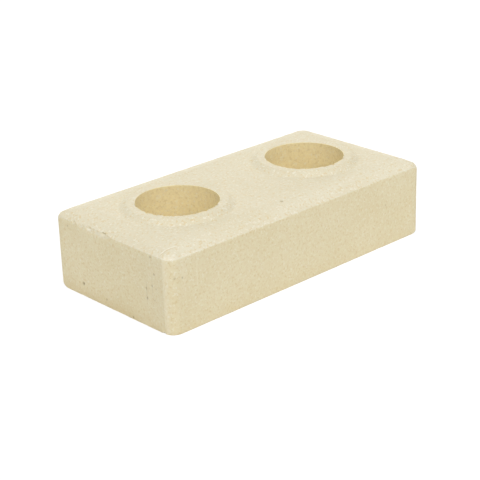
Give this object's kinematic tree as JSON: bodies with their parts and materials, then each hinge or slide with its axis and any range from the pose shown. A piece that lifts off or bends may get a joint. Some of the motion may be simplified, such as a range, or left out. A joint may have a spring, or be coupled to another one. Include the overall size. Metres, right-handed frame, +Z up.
{
  "type": "clay brick",
  "caption": "Pressed clay brick with two through bores, a low locating collar round each on the raised upper bed and matching sockets underneath.",
  "frame": {"origin": "centre of the lower bed, on the floor that the brick lies on", "axes": "+X along the length, +Y across the width, +Z up through the bores towards the collars"},
  "size_m": [0.23, 0.115, 0.058],
  "materials": {
    "fired_clay": "matt buff fired clay with fine pale and tan grains"
  },
  "bodies": {
    "root": {"brick": "fired_clay"}
  },
  "joints": []
}
